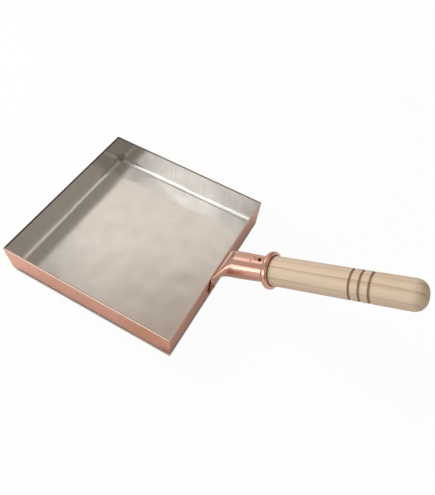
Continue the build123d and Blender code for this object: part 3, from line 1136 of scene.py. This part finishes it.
round_patches = [
    (130, 74, 4, 22, (0.14, 0.06, 0.01)),
    (38, 47, 7, 25, (0.19, 0.16, 0.13)),
    (28, 27, 6, 18, (0.40, 0.38, 0.33)),
    (-45, 42, 8, 30, (0.20, 0.18, 0.15)),
    (190, 25, 20, 80, (0.26, 0.26, 0.26)),
    (168, 30, 4, 16, (0.85, 0.85, 0.85)),
    (140, 6, 15, 34, (0.26, 0.26, 0.26)),
    (-103, 26, 9, 17, (1.06, 1.06, 1.06)),
    (-130, 6, 9, 19, (1.47, 1.47, 1.47)),
    (-122, 53, 2, 9, (0.85, 0.85, 0.85)),
]
total = (0.175, 0.16, 0.132)
for azimuth, elevation, full_angle, end_angle, tint in round_patches:
    total = patch(total, azimuth, elevation, full_angle, end_angle, tint)
print("round patches:", len(round_patches))

# %% [markdown]
# ## Upright bands
# A band is a soft window with four edges. Between its two azimuths and its two heights it is full,
# and it fades out on each side, so four fades are multiplied. The warm band beyond the far side is
# what the floor of the pan mirrors. The white band on the near side draws, together with the white
# patches beside it, the long highlight on the socket, the bright far wall and the white line in its
# crease.


# %% Upright bands
def band(total, azimuths, heights, tint):
    start, full_from, full_to, end = [math.radians(edge) for edge in azimuths]
    none_below, low, high, none_above = [math.sin(math.radians(edge)) for edge in heights]
    parts = add_node(tree, "ShaderNodeSeparateXYZ", {0: facing}).outputs
    azimuth = add_node(
        tree, "ShaderNodeMath", {0: parts["Y"], 1: parts["X"]}, operation="ARCTAN2"
    ).outputs[0]
    share = 1.0
    for value, none_at, full_at in (
        (azimuth, start, full_from), (azimuth, end, full_to),
        (parts["Z"], none_below, low), (parts["Z"], none_above, high),
    ):
        fade = add_node(
            tree, "ShaderNodeMapRange",
            {"Value": value, "From Min": none_at, "From Max": full_at,
             "To Min": 0.0, "To Max": 1.0},
            interpolation_type="SMOOTHSTEP",
        ).outputs[0]
        share = add_node(
            tree, "ShaderNodeMath", {0: share, 1: fade}, operation="MULTIPLY"
        ).outputs[0]
    return add_light(total, share, tint)


upright_bands = [
    ((98, 107, 140, 150), (37, 47, 53, 66), (0.69, 0.62, 0.55)),
    ((-129, -121, -119, -97), (-20, -10, 52, 66), (1.08, 1.08, 1.08)),
]
for azimuths, heights, tint in upright_bands:
    total = band(total, azimuths, heights, tint)
print("upright bands:", len(upright_bands))

# %% [markdown]
# ## The sky and the backdrop together
# The drawn sky lights the scene and shows in the metal, with the small share of white. The camera
# could see it too, but then the pan would stand in front of grey and bright patches. So a Mix
# Shader chooses by the kind of ray, and the camera sees only the white backdrop.

# %% The sky and the backdrop together
light = add_node(tree, "ShaderNodeBackground", {"Color": total, "Strength": 1.0}).outputs[0]
white = add_node(
    tree, "ShaderNodeBackground", {"Color": linear("#FFFFFF"), "Strength": 1.0}
).outputs[0]
seen = white_share(tree, 1.0)
mixed = add_node(tree, "ShaderNodeMixShader", {0: seen, 1: light, 2: white}).outputs[0]
add_node(tree, "ShaderNodeOutputWorld", {"Surface": mixed})
print("sky nodes:", len(tree.nodes))

# %% [markdown]
# ## Four windows
# A strong window to the left lights the table and leaves the ground beside the handle in the pan's
# shade, and a weaker one on the handle's side opens that shade. Two weak low ones, in front and
# beyond, light the wood's two sides nearly as much as its top, as white studio walls do. They are
# area lamps, which give soft shade. Metal doesn't mirror them, because the sky above draws the
# reflections.

# %% Four windows
window_size = 0.4
window_distance = 0.75


def add_window(name, azimuth, elevation, energy):
    towards = direction_to(azimuth, elevation)
    lamp = bpy.data.lights.new(name, "AREA")
    lamp.shape = "SQUARE"
    lamp.size = window_size
    lamp.energy = energy
    window = bpy.data.objects.new(name, lamp)
    window.location = window_distance * towards
    window.rotation_euler = (-towards).to_track_quat("-Z", "Y").to_euler()
    window.visible_glossy = False
    window.visible_camera = False
    bpy.context.scene.collection.objects.link(window)
    print(name, "gives", energy, "W")


add_window("left_window", 184, 36, 4.3)
add_window("handle_window", -20, 45, 0.5)
add_window("near_window", -100, 6, 0.7)
add_window("far_window", 95, 8, 0.7)

# %% [markdown]
# ## The view
# The plain Standard view shows the colours as they are.

# %% The view
bpy.context.scene.view_settings.view_transform = "Standard"
